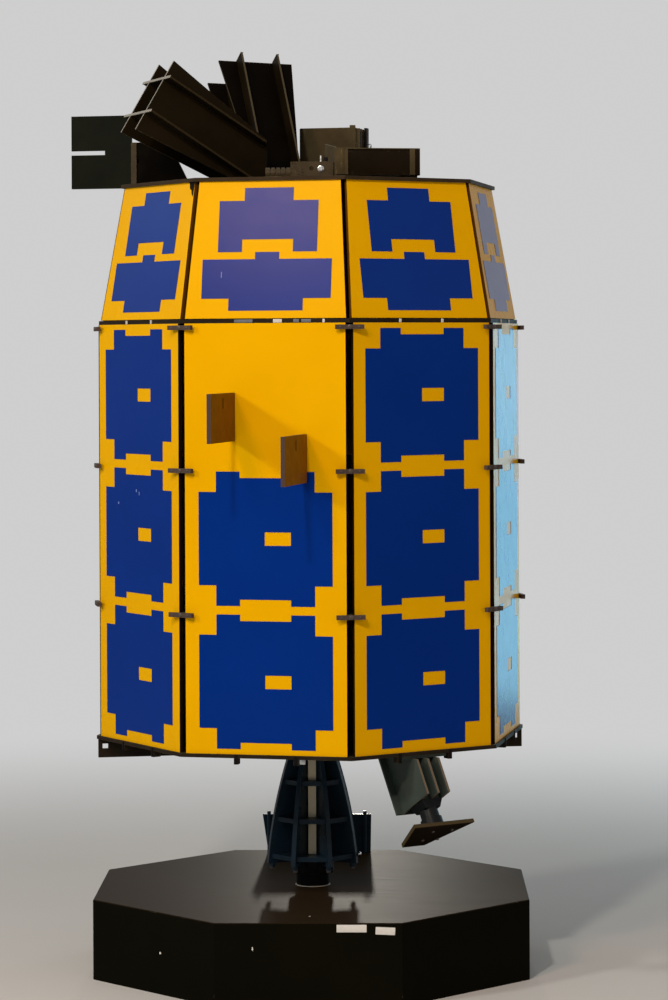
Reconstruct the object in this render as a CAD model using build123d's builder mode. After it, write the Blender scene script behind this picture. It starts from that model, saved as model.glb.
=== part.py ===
from build123d import *
from math import atan, cos, degrees, radians, sin, sqrt, tan
import os

# Octagonal satellite on its display plinth, in millimetres, +Z up.
# The origin is on the floor under the post, and the face with the two fins looks along -Y.
# Faces are numbered from that one, towards +X: 0 looks along -Y, 2 along +X, 4 along +Y.

FACES = 8
STEP = 360 / FACES
HALF = STEP / 2

# Plinth and the small screen at its far edge
stand_turn = 11.3
plinth_radius = 591.0
plinth_height = 200.0
plinth_edge = 2.0
screen_inset = 40.0
screen_width = 297.0
screen_left_taper = 15.0
screen_right_taper = 2.0
screen_height = 104.0
screen_thickness = 8.0
screen_rod_diameter = 10.0
screen_rod_apart = 262.0
screen_rod_rise = 10.0

# Post and its cage: ribs and ring plates slotted into each other, each half way
post_diameter = 85.0
post_collar_diameter = 109.0
post_collar_above_plinth = 33.0
post_collar_height = 39.0
cage_above_plinth = 62.0
cage_low_radius = 124.0
cage_top_radius = 46.0
cage_bow = 12.0
cage_rib_thickness = 12.0
cage_ring_count = 3
cage_first_ring = 18.0
cage_ring_spacing = 94.0
cage_ring_thickness = 12.0
cage_ring_inset = 6.0
cage_clearance = 0.3
foot_bolt_diameter = 13.0
foot_bolt_length = 10.0
foot_bolt_inset = 13.0
light_bar_width = 20.0
light_bar_depth = 8.0

# Lower body
body_radius = 550.0
lower_seam = 21.0
panel_thickness = 9.5
lower_panel_bottom = 597.0
lower_panel_height = 1043.0
deck_thickness = 9.0
bottom_deck_overhang = 6.0

# Bulkheads with a T-shaped tab out of each seam: name and how far up the panel the underside is
BULKHEADS = (("bulkhead_low", 0.316), ("bulkhead_middle", 0.652), ("bulkhead_high", 0.985))
bulkhead_thickness = 11.0
tab_stem = 12.0
tab_bar_width = 70.0
tab_bar_depth = 10.0

# Upper body
shoulder_deck_thickness = 10.0
shoulder_deck_inset = 4.0
upper_foot_inset = 7.0
upper_top_radius = 481.0
upper_seam = 15.5
upper_height = 336.0
top_deck_thickness = 9.0
top_deck_overhang = 7.0

# Solar cells: thin sheets on the panels
cell_thickness = 0.8
cells_a_panel = 3
cell_end_margin = 13.0
cell_side_margin = 34.0
cell_gap = 21.0
cell_corner_width = 43.5
cell_tab_width = 59.0
cell_side_step = 49.5
cell_notch_depth = 15.5
window_near = -1.5
window_height = 32.5

# Fins on the front panel: place across the panel and how far the lower edge is below its top
FINS = ((-79.0, 285.0), (99.0, 385.0))
fin_reach = 235.0
fin_height = 117.0
fin_thickness = 10.0
fin_slit_width = 5.0
fin_slit_height = 24.0

# Crossed-plate hoods on the top deck
hood_mouth_width = 202.0
hood_flare = 6.5
hood_plates_apart = 99.0
hood_rib_width = 182.0
hood_ribs_apart = 99.0
hood_sheet = 5.0
hood_slot_play = 0.2

# Hoods: name, middle of the mouth (its height above the deck), directions along and across the
# flared plates, length, how much longer the nearer plate is, and where an upright cut ends the hood
HOODS = (
    ("left_hood", (-343.5, -318.2, 212.2), (-0.404, -0.32, -0.857), (-0.603, 0.798, -0.014), 318.0, 56.0, -108.0),
    ("back_hood", (-189.6, 126.8, 302.3), (-0.834, -0.551, 0.025), (-0.481, 0.705, -0.521), 345.0, 0.0, 0.0),
)
hood_cut_angle = 12.65

# Plates on the left rim of the top deck, heights from its top face
rim_plate_y = -80.0
rim_plate_thickness = 9.0
side_plate_reach = 161.0
side_plate_below = 3.6
side_plate_above = 184.4
side_slot_length = 90.0
side_slot_width = 11.0
side_slot_above = 89.0
rim_post_width = 14.0
rim_post_height = 114.0
rim_post_lip = 3.0
dark_plate_low_length = 142.0
dark_plate_high_length = 85.0

# Boxes on the top deck: place of the middle, then width, depth and height
box_edge = 2.0
rear_box_place = (12.0, 222.0)
rear_box_size = (150.0, 120.0, 160.0)
rear_rib_count = 5
rear_rib_reach = 9.0
rear_rib_thickness = 12.0
strip_place = (101.0, 236.0)
strip_size = (7.0, 26.0, 162.0)
front_box_place = (204.0, -192.0)
front_box_size = (211.0, 150.0, 67.0)
box_foot = 10.0
box_foot_width = 16.0
box_foot_inset = 14.0

# Clevis and grooved roller at the front of the top deck
view_turn = 11.3
clevis_place = (73.0, -301.0)
clevis_width = 106.0
clevis_height = 44.0
clevis_thickness = 22.0
clevis_corner = 3.0
clevis_left_radius = 34.0
clevis_right_radius = 16.0
clevis_hole_diameter = 11.0
clevis_hole_aside = -1.0
clevis_hole_height = 27.0
clevis_pin_diameter = 12.0
clevis_pin_aside = 22.0
clevis_pin_height = 26.0
clevis_pin_reach = 5.0
clevis_peg_diameter = 5.0
clevis_peg_rise = 14.0
ARC_GROOVES = (22.0, 29.0, 36.0)
arc_groove_width = 3.0
arc_groove_depth = 3.0
arc_centre = (-20.0, 44.0)
roller_diameter = 28.0
roller_length = 62.0
roller_height = 16.0
roller_groove_depth = 3.0
roller_groove_width = 4.0
roller_grooves = 4
roller_saddle_width = 20.0

# Lugs under the rim of the bottom deck: place across each face
LUG_PLACES = (-74.0, 74.0)
lug_width = 11.0
lug_depth = 20.0
lug_height = 15.0

# Beams under the bottom deck, from the cage out to two corners: the face before each corner
BEAM_FACES = (2, 6)
beam_depth = 47.0
beam_thickness = 12.0
beam_start = 80.0
beam_short_of_rim = 4.0
beam_window_from_end = 10.0
beam_window_width = 15.0
beam_window_top = 12.0
beam_window_height = 13.0

# Arm under the deck
arm_face = 1
arm_lean = 31.0
arm_end_radius = 516.0
arm_drop = 118.0
arm_base_start = 372.0
arm_base_width = 132.0
arm_base_thickness = 8.0
arm_plate_width = 128.0
arm_plates_apart = 31.0
arm_sheet = 6.0
arm_cross_reach = 20.0
arm_web_place = 20.0
neck_block_top = 60.0
neck_block_foot = 44.0
neck_block_height = 20.0
swivel_gap = 0.3

# Discs of the head from the neck down: diameter and thickness
HEAD_DISCS = ((46.0, 22.0), (54.0, 20.0), (36.0, 13.0))

# Corners of the head's plate: outwards along the arm's slant, and aside
HEAD_CORNERS = ((66.0, -101.0), (66.0, 73.0), (-58.0, -2.0), (-58.0, -66.0))
head_thickness = 10.0


def apothem(radius):
    """Distance from the middle of an octagon to its flat sides."""
    return radius * cos(radians(HALF))


def side_length(radius):
    """Length of a side of an octagon."""
    return 2 * radius * sin(radians(HALF))


def face_angle(number):
    """Direction in which a face looks, in degrees from +X."""
    return -90 + STEP * number


def corner_angle(number):
    """Direction of the corner after a face, in degrees from +X."""
    return face_angle(number) + HALF


def along(angle, reach, height=0.0, aside=0.0):
    """A place out along an angle, shifted aside, at a height."""
    a = radians(angle)
    return (reach * cos(a) - aside * sin(a), reach * sin(a) + aside * cos(a), height)


def octagon_plane(height, turn=0.0):
    """A level plane whose x axis points at a flat side."""
    return Plane(origin=(0, 0, height), x_dir=along(turn - 90, 1.0), z_dir=(0, 0, 1))


def write(block, name):
    """Label a finished piece and write it to its file."""
    block.part.label = name
    export_step(block.part, f"parts/{name}.step")


os.makedirs("parts", exist_ok=True)

# Sizes that follow from the ones above
screen_back = apothem(plinth_radius) - screen_inset
post_collar_low = plinth_height + post_collar_above_plinth
post_collar_high = post_collar_low + post_collar_height
cage_low = plinth_height + cage_above_plinth
panel_width = side_length(body_radius) - lower_seam
upper_foot_radius = body_radius - upper_foot_inset
upper_foot_width = side_length(upper_foot_radius) - upper_seam
upper_top_width = side_length(upper_top_radius) - upper_seam
lower_face = apothem(body_radius)
lower_inside = lower_face - panel_thickness
lower_panel_top = lower_panel_bottom + lower_panel_height
bottom_deck_low = lower_panel_bottom - deck_thickness
shoulder_low = lower_panel_top
upper_foot_face = apothem(upper_foot_radius)
upper_top_face = apothem(upper_top_radius)
upper_lean = degrees(atan((upper_foot_face - upper_top_face) / upper_height))
upper_slant = sqrt(upper_height**2 + (upper_foot_face - upper_top_face) ** 2)
upper_bottom = shoulder_low + shoulder_deck_thickness + panel_thickness * sin(radians(upper_lean))
upper_top = upper_bottom + upper_height
deck_low = upper_top
deck_top = deck_low + top_deck_thickness
rim_post_out = -apothem(upper_top_radius + top_deck_overhang)
rim_post_in = rim_post_out + rim_post_width
cage_ring_levels = [cage_low + cage_first_ring + n * cage_ring_spacing for n in range(cage_ring_count)]
arm_end_height = bottom_deck_low - arm_drop
cell_height = (lower_panel_height - 2 * cell_end_margin - (cells_a_panel - 1) * cell_gap) / cells_a_panel
cell_half_width = panel_width / 2 - cell_side_margin
cell_tab_half_width = cell_half_width - cell_corner_width
cell_notch_half_width = cell_tab_half_width - cell_tab_width


# The outer edge of the ribs is an arc that bows out of the straight line from foot to top
cage_foot = Vector(cage_low_radius, cage_low)
cage_head = Vector(cage_top_radius, bottom_deck_low)
cage_line = cage_head - cage_foot
cage_outwards = Vector(cage_line.Y, -cage_line.X).normalized()
cage_bulge = (cage_foot + cage_head) / 2 + cage_outwards * cage_bow
cage_arc_radius = (cage_line.length**2 / 4 + cage_bow**2) / (2 * cage_bow)
cage_arc_centre = cage_bulge - cage_outwards * cage_arc_radius


def cage_radius(height):
    """Outside of the cage ribs at a height."""
    return cage_arc_centre.X + sqrt(cage_arc_radius**2 - (height - cage_arc_centre.Y) ** 2)


def ring_slot(level):
    """How far out the slots of the ribs reach, half way across the ring at that level."""
    ring_side = apothem(cage_radius(level) - cage_ring_inset)
    return (post_diameter / 2 + ring_side) / 2


# Plinth
with BuildPart() as plinth:
    with BuildSketch(octagon_plane(0, stand_turn)):
        RegularPolygon(plinth_radius, FACES, rotation=HALF)
    extrude(amount=plinth_height)
    chamfer(plinth.faces().sort_by(Axis.Z)[-1].edges(), plinth_edge)
write(plinth, "plinth")

# Screen at the far edge of the plinth
screen_plane = Plane(
    origin=along(stand_turn + 90, screen_back, plinth_height),
    x_dir=along(stand_turn, 1.0),
    z_dir=along(stand_turn - 90, 1.0),
)
with BuildPart() as screen:
    with BuildSketch(screen_plane):
        with BuildLine():
            Polyline(
                (screen_left_taper - screen_width / 2, 0),
                (screen_width / 2 - screen_right_taper, 0),
                (screen_width / 2, screen_height),
                (-screen_width / 2, screen_height),
                close=True,
            )
        make_face()
    extrude(amount=-screen_thickness)
write(screen, "rear_screen")

with BuildPart() as screen_rods:
    rod_plane = Plane(
        origin=screen_plane.origin + screen_plane.z_dir * (screen_rod_diameter / 2),
        x_dir=screen_plane.x_dir,
        z_dir=(0, 0, 1),
    )
    with BuildSketch(rod_plane):
        with Locations((-screen_rod_apart / 2, 0), (screen_rod_apart / 2, 0)):
            Circle(screen_rod_diameter / 2)
    extrude(amount=screen_height + screen_rod_rise)
write(screen_rods, "rear_screen_rods")

# Post: a tube with a collar, up to the bottom deck
with BuildPart() as post:
    with BuildSketch(Plane.XY.offset(plinth_height)):
        Circle(post_diameter / 2)
    extrude(amount=bottom_deck_low - plinth_height)
    with BuildSketch(Plane.XY.offset(post_collar_low)):
        Circle(post_collar_diameter / 2)
    extrude(amount=post_collar_high - post_collar_low)
write(post, "post")

# Cage ribs: full plates from the post outwards, slotted from inside for the rings
with BuildPart() as cage_ribs:
    for number in range(FACES):
        rib_angle = stand_turn + corner_angle(number)
        rib_plane = Plane(
            origin=along(rib_angle, 0.0, 0.0, cage_rib_thickness / 2),
            x_dir=along(rib_angle, 1.0),
            z_dir=along(rib_angle - 90, 1.0),
        )
        rib_inside = post_diameter / 2 + cage_clearance
        collar_side = post_collar_diameter / 2 + cage_clearance
        with BuildSketch(rib_plane):
            with BuildLine():
                ThreePointArc(cage_foot, cage_bulge, cage_head)
                Polyline(
                    cage_head,
                    (rib_inside, bottom_deck_low),
                    (rib_inside, post_collar_high),
                    (collar_side, post_collar_high),
                    (collar_side, cage_low),
                    cage_foot,
                )
            make_face()
            for level in cage_ring_levels:
                slot_end = ring_slot(level)
                with Locations(((rib_inside + slot_end) / 2, level)):
                    Rectangle(slot_end - rib_inside, cage_ring_thickness, mode=Mode.SUBTRACT)
        extrude(amount=cage_rib_thickness)
        bolt_at = along(rib_angle, cage_low_radius - foot_bolt_inset, cage_low)
        with BuildSketch(Plane(origin=bolt_at, z_dir=(0, 0, -1))):
            Circle(foot_bolt_diameter / 2)
        extrude(amount=foot_bolt_length)
write(cage_ribs, "cage_ribs")

# Cage rings: plates round the post, slotted from outside for the ribs
with BuildPart() as cage_rings:
    for level in cage_ring_levels:
        with BuildSketch(octagon_plane(level - cage_ring_thickness / 2, stand_turn)):
            RegularPolygon(cage_radius(level) - cage_ring_inset, FACES, rotation=HALF)
            Circle(post_diameter / 2 + cage_clearance, mode=Mode.SUBTRACT)
        extrude(amount=cage_ring_thickness)
    add(cage_ribs.part, mode=Mode.SUBTRACT)
write(cage_rings, "cage_rings")

# Pale light bar up the front of the post, in lengths between the rings
with BuildPart() as light_bar:
    bar_plane = Plane(
        origin=along(stand_turn - 90, post_diameter / 2, cage_ring_levels[0]),
        x_dir=along(stand_turn, 1.0),
        z_dir=(0, 0, 1),
    )
    with BuildSketch(bar_plane):
        with Locations((0, -light_bar_depth / 2)):
            Rectangle(light_bar_width, light_bar_depth)
    extrude(amount=bottom_deck_low - cage_ring_levels[0])
    with BuildSketch(Plane.XY.offset(plinth_height)):
        Circle(post_diameter / 2)
    extrude(amount=bottom_deck_low - plinth_height, mode=Mode.SUBTRACT)
    for level in cage_ring_levels:
        with BuildSketch(Plane.XY.offset(level - cage_ring_thickness / 2)):
            Circle(cage_low_radius)
        extrude(amount=cage_ring_thickness, mode=Mode.SUBTRACT)
write(light_bar, "light_bar")

# Decks
DECKS = (
    ("bottom_deck", bottom_deck_low, deck_thickness, body_radius + bottom_deck_overhang),
    ("shoulder_deck", shoulder_low, shoulder_deck_thickness, body_radius - shoulder_deck_inset),
    ("top_deck", deck_low, top_deck_thickness, upper_top_radius + top_deck_overhang),
)
for name, low, thickness, radius in DECKS:
    with BuildPart() as deck:
        with BuildSketch(octagon_plane(low)):
            RegularPolygon(radius, FACES, rotation=HALF)
        extrude(amount=thickness)
    write(deck, name)

# Bulkheads, with the stem of each tab in the seam and its bar across the panels' edges
tab_reach = lower_face * cos(radians(HALF)) + panel_width / 2 * sin(radians(HALF))
for name, share in BULKHEADS:
    low = lower_panel_bottom + share * lower_panel_height
    with BuildPart() as bulkhead:
        with BuildSketch(octagon_plane(low)):
            RegularPolygon(lower_inside / cos(radians(HALF)), FACES, rotation=HALF)
        extrude(amount=bulkhead_thickness)
        for number in range(FACES):
            tab_plane = Plane(
                origin=(0, 0, low), x_dir=along(corner_angle(number), 1.0), z_dir=(0, 0, 1)
            )
            with BuildSketch(tab_plane):
                with Locations(((lower_inside + tab_reach) / 2, 0)):
                    Rectangle(tab_reach - lower_inside, tab_stem)
                with Locations((tab_reach + tab_bar_depth / 2, 0)):
                    Rectangle(tab_bar_depth, tab_bar_width)
            extrude(amount=bulkhead_thickness)
    write(bulkhead, name)

# Lower panels
for number in range(FACES):
    panel_plane = Plane(
        origin=along(face_angle(number), lower_face, lower_panel_bottom),
        x_dir=along(face_angle(number) + 90, 1.0),
        z_dir=along(face_angle(number), 1.0),
    )
    with BuildPart() as panel:
        with BuildSketch(panel_plane):
            with Locations((0, lower_panel_height / 2)):
                Rectangle(panel_width, lower_panel_height)
        extrude(amount=-panel_thickness)
    write(panel, f"lower_panel_{number}")

# Upper panels, leaning in
for number in range(FACES):
    angle = face_angle(number)
    upper_plane = Plane(
        origin=along(angle, upper_foot_face, upper_bottom),
        x_dir=along(angle + 90, 1.0),
        z_dir=along(angle, cos(radians(upper_lean)), sin(radians(upper_lean))),
    )
    with BuildPart() as panel:
        with BuildSketch(upper_plane):
            with BuildLine():
                Polyline(
                    (-upper_foot_width / 2, 0),
                    (upper_foot_width / 2, 0),
                    (upper_top_width / 2, upper_slant),
                    (-upper_top_width / 2, upper_slant),
                    close=True,
                )
            make_face()
        extrude(amount=-panel_thickness)
    write(panel, f"upper_panel_{number}")

# Fins
with BuildPart() as fins:
    for aside, below_top in FINS:
        fin_plane = Plane(
            origin=(aside + fin_thickness / 2, -lower_face, lower_panel_top - below_top),
            x_dir=(0, -1, 0),
            z_dir=(-1, 0, 0),
        )
        with BuildSketch(fin_plane):
            with Locations((fin_reach / 2, fin_height / 2)):
                Rectangle(fin_reach, fin_height)
            with Locations((fin_reach / 2, fin_height - fin_slit_height)):
                Rectangle(fin_slit_width, fin_slit_height, mode=Mode.SUBTRACT)
        extrude(amount=fin_thickness)
write(fins, "front_fins")

# Outline of one lower cell, from its foot: half width and the heights between which it is that wide
CELL_STEPS = (
    (cell_half_width, cell_side_step, cell_height - cell_side_step),
    (cell_tab_half_width, 0.0, cell_height),
)
with BuildPart() as lower_cells:
    for number in range(FACES):
        cell_plane = Plane(
            origin=along(face_angle(number), lower_face, lower_panel_bottom),
            x_dir=along(face_angle(number) + 90, 1.0),
            z_dir=along(face_angle(number), 1.0),
        )
        for row in range(cells_a_panel - 1 if number == 0 else cells_a_panel):
            foot = cell_end_margin + row * (cell_height + cell_gap)
            with BuildSketch(cell_plane):
                for half_width, low, high in CELL_STEPS:
                    with Locations((0, foot + (low + high) / 2)):
                        Rectangle(2 * half_width, high - low)
                for notch in (foot + cell_notch_depth / 2, foot + cell_height - cell_notch_depth / 2):
                    with Locations((0, notch)):
                        Rectangle(2 * cell_notch_half_width, cell_notch_depth, mode=Mode.SUBTRACT)
                with Locations(((window_near + cell_notch_half_width) / 2, foot + cell_height / 2)):
                    Rectangle(cell_notch_half_width - window_near, window_height, mode=Mode.SUBTRACT)
            extrude(amount=cell_thickness)
    add(fins.part, mode=Mode.SUBTRACT)
write(lower_cells, "lower_cells")

# Upper cells: half width and the distances down the slant between which they are that wide
UPPER_CELLS = (
    (61.0, 18.0, 60.0),
    (123.5, 50.0, 146.0),
    (161.0, 195.0, 292.0),
    (92.5, 290.0, 322.0),
    (30.0, 177.5, 196.0),
)
# The two legs of the cell above, beside its notch: nearer and farther side, then the distances
UPPER_LEGS = ((63.5, 123.5, 145.0, 177.0),)
with BuildPart() as upper_cells:
    for number in range(FACES):
        angle = face_angle(number)
        upper_plane = Plane(
            origin=along(angle, upper_foot_face, upper_bottom),
            x_dir=along(angle + 90, 1.0),
            z_dir=along(angle, cos(radians(upper_lean)), sin(radians(upper_lean))),
        )
        with BuildSketch(upper_plane):
            for half_width, high, low in UPPER_CELLS:
                with Locations((0, upper_slant - (high + low) / 2)):
                    Rectangle(2 * half_width, low - high)
            for near, far, high, low in UPPER_LEGS:
                for side in (-0.5, 0.5):
                    with Locations((side * (near + far), upper_slant - (high + low) / 2)):
                        Rectangle(far - near, low - high)
        extrude(amount=cell_thickness)
write(upper_cells, "upper_cells")


def hood(name, mouth, along_width, across, length, nearer_more, cut_at):
    """Crossed plates: two flared plates and two ribs, slotted half way into each other."""
    frame = Plane(origin=(mouth[0], mouth[1], deck_top + mouth[2]), x_dir=along_width, z_dir=across)
    end_cut = Plane(origin=along(hood_cut_angle, cut_at), z_dir=along(hood_cut_angle, 1.0))
    with BuildPart() as plates:
        for side, more in ((-0.5, nearer_more), (0.5, 0.0)):
            plate_length = length + more
            base_width = hood_mouth_width - 2 * plate_length * tan(radians(hood_flare))
            with BuildSketch(frame.offset(side * hood_plates_apart - hood_sheet / 2)):
                with BuildLine():
                    Polyline(
                        (-hood_mouth_width / 2, 0),
                        (hood_mouth_width / 2, 0),
                        (base_width / 2, -plate_length),
                        (-base_width / 2, -plate_length),
                        close=True,
                    )
                make_face()
                for rib in (-0.5, 0.5):
                    with Locations((rib * hood_ribs_apart, -length * 0.75)):
                        Rectangle(hood_sheet + hood_slot_play, length / 2, mode=Mode.SUBTRACT)
            extrude(amount=hood_sheet)
        split(bisect_by=Plane.XY.offset(deck_top), keep=Keep.TOP)
        if cut_at:
            split(bisect_by=end_cut, keep=Keep.BOTTOM)
    write(plates, f"{name}_plates")
    with BuildPart() as ribs:
        for side in (-0.5, 0.5):
            rib_frame = Plane(
                origin=frame.origin + frame.x_dir * (side * hood_ribs_apart - hood_sheet / 2),
                x_dir=frame.z_dir,
                z_dir=frame.x_dir,
            )
            with BuildSketch(rib_frame):
                with Locations((0, length / 2)):
                    Rectangle(hood_rib_width, length)
                for plate in (-0.5, 0.5):
                    with Locations((plate * hood_plates_apart, length * 0.25)):
                        Rectangle(hood_sheet + hood_slot_play, length / 2, mode=Mode.SUBTRACT)
            extrude(amount=hood_sheet)
        split(bisect_by=Plane.XY.offset(deck_top), keep=Keep.TOP)
        if cut_at:
            split(bisect_by=end_cut, keep=Keep.BOTTOM)
    write(ribs, f"{name}_ribs")


for hood_row in HOODS:
    hood(*hood_row)

# Side plate, its post and the dark plate beside it, on the left rim of the top deck
with BuildPart() as side_plate:
    side_plane = Plane(origin=(0, rim_plate_y, 0), x_dir=(1, 0, 0), z_dir=(0, -1, 0))
    with BuildSketch(side_plane):
        middle = deck_top + (side_plate_above - side_plate_below) / 2
        with Locations((rim_post_out - side_plate_reach / 2, middle)):
            Rectangle(side_plate_reach, side_plate_above + side_plate_below)
        slot_middle = rim_post_out - side_plate_reach + side_slot_length / 2
        with Locations((slot_middle, deck_top + side_slot_above)):
            Rectangle(side_slot_length, side_slot_width, mode=Mode.SUBTRACT)
    extrude(amount=rim_plate_thickness)
write(side_plate, "side_plate")

with BuildPart() as rim_post:
    with BuildSketch(Plane.XY.offset(deck_top)):
        with Locations(((rim_post_out + rim_post_in) / 2, rim_plate_y - rim_plate_thickness / 2)):
            Rectangle(rim_post_in - rim_post_out, rim_plate_thickness + 2 * rim_post_lip)
    extrude(amount=rim_post_height)
write(rim_post, "rim_post")

with BuildPart() as dark_plate:
    with BuildSketch(side_plane):
        with BuildLine():
            Polyline(
                (rim_post_in, deck_top),
                (rim_post_in + dark_plate_low_length, deck_top),
                (rim_post_in + dark_plate_high_length, deck_top + rim_post_height),
                (rim_post_in, deck_top + rim_post_height),
                close=True,
            )
        make_face()
    extrude(amount=rim_plate_thickness)
write(dark_plate, "dark_plate")

# Ribbed box behind the hoods
with BuildPart() as rear_box:
    width, depth, height = rear_box_size
    with BuildSketch(Plane(origin=(*rear_box_place, deck_top))):
        Rectangle(width, depth)
    extrude(amount=height)
    chamfer(rear_box.faces().sort_by(Axis.Z)[-1].edges(), box_edge)
    with BuildSketch(Plane(origin=(rear_box_place[0] + width / 2, rear_box_place[1], deck_top))):
        for number in range(rear_rib_count):
            aside = (number + 0.5) * depth / rear_rib_count - depth / 2
            with Locations((rear_rib_reach / 2, aside)):
                Rectangle(rear_rib_reach, rear_rib_thickness)
    extrude(amount=height - box_edge)
write(rear_box, "rear_box")

# Thin strip that stands beside the ribs of that box
with BuildPart() as strip:
    width, depth, height = strip_size
    with BuildSketch(Plane(origin=(*strip_place, deck_top))):
        Rectangle(width, depth)
    extrude(amount=height)
write(strip, "box_strip")

# Low box on feet at the front right, facing the corner between two faces
with BuildPart() as front_box:
    width, depth, height = front_box_size
    box_angle = corner_angle(0)
    box_plane = Plane(
        origin=(*front_box_place, deck_top + box_foot), x_dir=along(box_angle + 90, 1.0), z_dir=(0, 0, 1)
    )
    with BuildSketch(box_plane):
        Rectangle(width, depth)
    extrude(amount=height)
    chamfer(front_box.faces().sort_by(Axis.Z)[-1].edges(), box_edge)
    with BuildSketch(box_plane):
        with GridLocations(width - 2 * box_foot_inset, depth - 2 * box_foot_inset, 2, 2):
            Rectangle(box_foot_width, box_foot_width)
    extrude(amount=-box_foot)
write(front_box, "front_box")

# Clevis and grooved roller at the front of the top deck
clevis_plane = Plane(
    origin=(*clevis_place, deck_top), x_dir=along(view_turn, 1.0), z_dir=along(view_turn - 90, 1.0)
)
with BuildPart() as clevis:
    with BuildSketch(clevis_plane) as clevis_outline:
        with Locations((0, clevis_height / 2)):
            Rectangle(clevis_width, clevis_height)
        corners = clevis_outline.vertices().sort_by(Axis.Z)
        top_corners = corners[2:]
        low_left, low_right = corners[:2].sort_by(Axis.X)
        fillet(top_corners, clevis_corner)
        fillet(low_left, clevis_left_radius)
        fillet(low_right, clevis_right_radius)
        with Locations((clevis_hole_aside, clevis_hole_height)):
            Circle(clevis_hole_diameter / 2, mode=Mode.SUBTRACT)
    extrude(amount=-clevis_thickness)
    for radius in ARC_GROOVES:
        with BuildSketch(clevis_plane.offset(-arc_groove_depth)):
            with Locations(arc_centre):
                Circle(radius)
                Circle(radius - arc_groove_width, mode=Mode.SUBTRACT)
            with Locations((arc_centre[0] + clevis_width / 2, arc_centre[1])):
                Rectangle(clevis_width, 2 * clevis_width, mode=Mode.SUBTRACT)
        extrude(amount=arc_groove_depth, mode=Mode.SUBTRACT)
    with BuildSketch(clevis_plane):
        with Locations((clevis_pin_aside, clevis_pin_height)):
            RegularPolygon(clevis_pin_diameter / 2, 6)
    extrude(amount=clevis_pin_reach)
    peg_at = clevis_plane.origin + clevis_plane.x_dir * clevis_pin_aside
    peg_at = peg_at - clevis_plane.z_dir * (clevis_thickness / 2) + Vector(0, 0, clevis_height)
    with BuildSketch(Plane(origin=peg_at, z_dir=(0, 0, 1))):
        Circle(clevis_peg_diameter / 2)
    extrude(amount=clevis_peg_rise)
write(clevis, "clevis")

with BuildPart() as roller:
    roller_plane = Plane(
        origin=clevis_plane.origin
        - clevis_plane.x_dir * (clevis_width / 2 + roller_length)
        - clevis_plane.z_dir * (clevis_thickness / 2)
        + Vector(0, 0, roller_height),
        x_dir=(0, 0, 1),
        z_dir=clevis_plane.x_dir,
    )
    with BuildSketch(roller_plane):
        Circle(roller_diameter / 2)
    extrude(amount=roller_length)
    for number in range(roller_grooves):
        groove_at = roller_length * (number + 1) / (roller_grooves + 1) - roller_groove_width / 2
        with BuildSketch(roller_plane.offset(groove_at)):
            Circle(roller_diameter / 2)
            Circle(roller_diameter / 2 - roller_groove_depth, mode=Mode.SUBTRACT)
        extrude(amount=roller_groove_width, mode=Mode.SUBTRACT)
    saddle_plane = Plane(
        origin=roller_plane.origin + roller_plane.z_dir * (roller_length / 2) - Vector(0, 0, roller_height),
        x_dir=clevis_plane.x_dir,
        z_dir=(0, 0, 1),
    )
    with BuildSketch(saddle_plane):
        Rectangle(roller_length, roller_saddle_width)
    extrude(amount=roller_height)
write(roller, "grooved_roller")

# Lugs under the rim of the bottom deck
with BuildPart() as lugs:
    rim = apothem(body_radius + bottom_deck_overhang)
    for number in range(FACES):
        for aside in LUG_PLACES:
            lug_at = along(face_angle(number), rim - lug_depth / 2, bottom_deck_low, aside)
            with BuildSketch(Plane(origin=lug_at, x_dir=along(face_angle(number), 1.0), z_dir=(0, 0, -1))):
                Rectangle(lug_depth, lug_width)
            extrude(amount=lug_height)
write(lugs, "deck_lugs")

# Beams under the bottom deck, from the cage to two opposite corners, with a window near the end
with BuildPart() as beams:
    beam_end = body_radius + bottom_deck_overhang - beam_short_of_rim
    for face in BEAM_FACES:
        angle = corner_angle(face)
        beam_plane = Plane(
            origin=along(angle, 0.0, bottom_deck_low, beam_thickness / 2),
            x_dir=along(angle, 1.0),
            z_dir=along(angle - 90, 1.0),
        )
        with BuildSketch(beam_plane):
            with Locations(((beam_start + beam_end) / 2, -beam_depth / 2)):
                Rectangle(beam_end - beam_start, beam_depth)
            window_at = beam_end - beam_window_from_end - beam_window_width / 2
            with Locations((window_at, -beam_window_top - beam_window_height / 2)):
                Rectangle(beam_window_width, beam_window_height, mode=Mode.SUBTRACT)
        extrude(amount=beam_thickness)
write(beams, "deck_beams")

# Arm: a bundle of plates that leans outwards under the deck
arm_angle = face_angle(arm_face)
arm_down = Vector(*along(arm_angle, sin(radians(arm_lean)), -cos(radians(arm_lean))))
arm_out = Vector(*along(arm_angle, cos(radians(arm_lean)), sin(radians(arm_lean))))
arm_end = Plane(origin=along(arm_angle, arm_end_radius, arm_end_height), x_dir=arm_out, z_dir=arm_down)
arm_length = 2 * (bottom_deck_low - arm_end_height)
arm_base_low = bottom_deck_low - arm_base_thickness
with BuildPart() as arm_base:
    base_end = apothem(body_radius)
    with BuildSketch(Plane(origin=(0, 0, arm_base_low), x_dir=along(arm_angle, 1.0), z_dir=(0, 0, 1))):
        with Locations(((arm_base_start + base_end) / 2, 0)):
            Rectangle(base_end - arm_base_start, arm_base_width)
    extrude(amount=arm_base_thickness)
write(arm_base, "arm_base")

ARM_PLATES = (-1, 0, 1)
with BuildPart() as arm_plates:
    with BuildSketch(arm_end):
        for place in ARM_PLATES:
            with Locations((arm_sheet / 2, place * arm_plates_apart)):
                Rectangle(arm_plate_width - arm_sheet, arm_sheet)
    extrude(amount=-arm_length)
    split(bisect_by=Plane.XY.offset(arm_base_low), keep=Keep.BOTTOM)
write(arm_plates, "arm_plates")

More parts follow.
